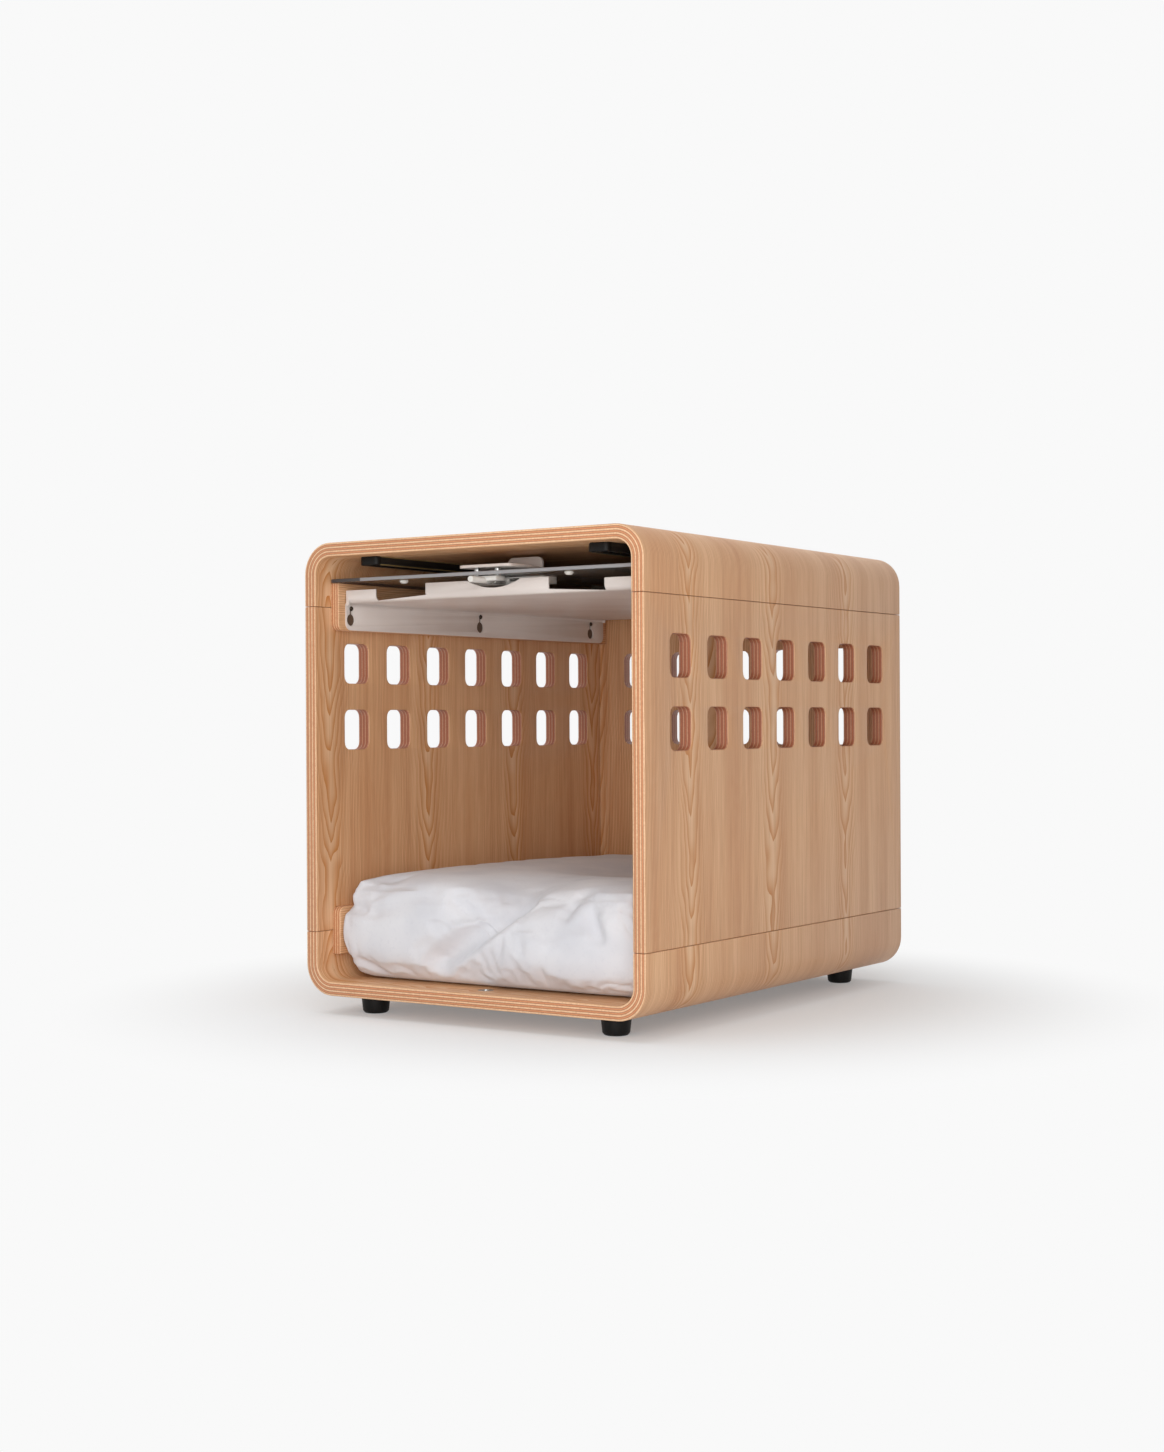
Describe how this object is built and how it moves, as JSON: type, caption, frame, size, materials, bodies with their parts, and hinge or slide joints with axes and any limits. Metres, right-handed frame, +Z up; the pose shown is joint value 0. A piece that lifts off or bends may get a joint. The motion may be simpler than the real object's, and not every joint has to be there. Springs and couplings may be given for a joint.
{
  "type": "dog crate end table",
  "caption": "Bent plywood dog crate that doubles as an end table: open front, vent slots, clear gate stowed under the top above a sheet metal tray, feet and floor cushion.",
  "frame": {"origin": "on the floor under the middle of the box, at the underside of the feet", "axes": "+Z up, open front facing -Y, +X to the right seen from the front"},
  "size_m": [0.464, 0.62, 0.544],
  "materials": {
    "plywood": "clear satin lacquer on pale veneered plywood",
    "white_coat": "satin white powder coat",
    "black_plastic": "moulded black plastic",
    "dark_screw": "blackened steel",
    "black_steel": "black coated steel",
    "nylon": "moulded nylon",
    "bright_steel": "zinc plated steel",
    "acrylic": "clear cast acrylic",
    "soft_rubber": "soft translucent rubber",
    "grey_bar": "dark grey plastic",
    "cotton": "pale grey woven cotton"
  },
  "bodies": {
    "crate": {"top_shell": "plywood", "bottom_shell": "plywood", "left_side_panel": "plywood", "right_side_panel": "plywood", "back_panel": "plywood", "upper_left_cleat": "plywood", "upper_right_cleat": "plywood", "lower_left_cleat": "plywood", "lower_right_cleat": "plywood", "gate_tray": "white_coat", "foot_front_left": "black_plastic", "foot_front_right": "black_plastic", "foot_rear_left": "black_plastic", "foot_rear_right": "black_plastic", "slide_nose_left": "black_plastic", "slide_nose_right": "black_plastic", "slide_tail_left": "black_plastic", "slide_tail_right": "black_plastic", "foot_screw_front_left": "dark_screw", "foot_screw_front_right": "dark_screw", "foot_screw_rear_left": "dark_screw", "foot_screw_rear_right": "dark_screw", "back_panel_screw_1": "dark_screw", "back_panel_screw_2": "dark_screw", "back_panel_screw_3": "dark_screw", "back_panel_screw_4": "dark_screw", "tray_screw_left_1": "dark_screw", "tray_screw_left_2": "dark_screw", "tray_screw_left_3": "dark_screw", "tray_screw_right_1": "dark_screw", "tray_screw_right_2": "dark_screw", "tray_screw_right_3": "dark_screw", "slide_rail_left": "black_steel", "slide_rail_right": "black_steel", "strike_bush": "bright_steel", "floor_cushion": "cotton"},
    "gate": {"slide_carriage_left": "nylon", "slide_carriage_right": "nylon", "hinge_bracket_left": "bright_steel", "hinge_bracket_right": "bright_steel", "gate_leaf_left": "bright_steel", "gate_leaf_right": "bright_steel", "hinge_pin_left": "bright_steel", "hinge_pin_right": "bright_steel", "gate_bolt_left_1": "bright_steel", "gate_bolt_left_2": "bright_steel", "gate_bolt_right_1": "bright_steel", "gate_bolt_right_2": "bright_steel", "gate_panel": "acrylic", "gate_bumper_left": "soft_rubber", "gate_bumper_right": "soft_rubber", "latch_housing": "white_coat", "latch_guide_bar": "grey_bar", "latch_spring": "bright_steel"},
    "latch": {"latch_pull": "white_coat", "latch_post_left": "bright_steel", "latch_post_right": "bright_steel", "latch_bolt": "nylon"}
  },
  "joints": [
    {"name": "gate_slide", "type": "slide", "parent": "crate", "child": "gate", "axis": [0, -1, 0], "range_m": [0, 0.4657]},
    {"name": "latch_pull", "type": "slide", "parent": "gate", "child": "latch", "axis": [0, 1, 0], "range_m": [0, 0.01], "stiffness_N_per_m": 300, "springref_m": -0.01, "deforming": ["latch_spring"]}
  ]
}
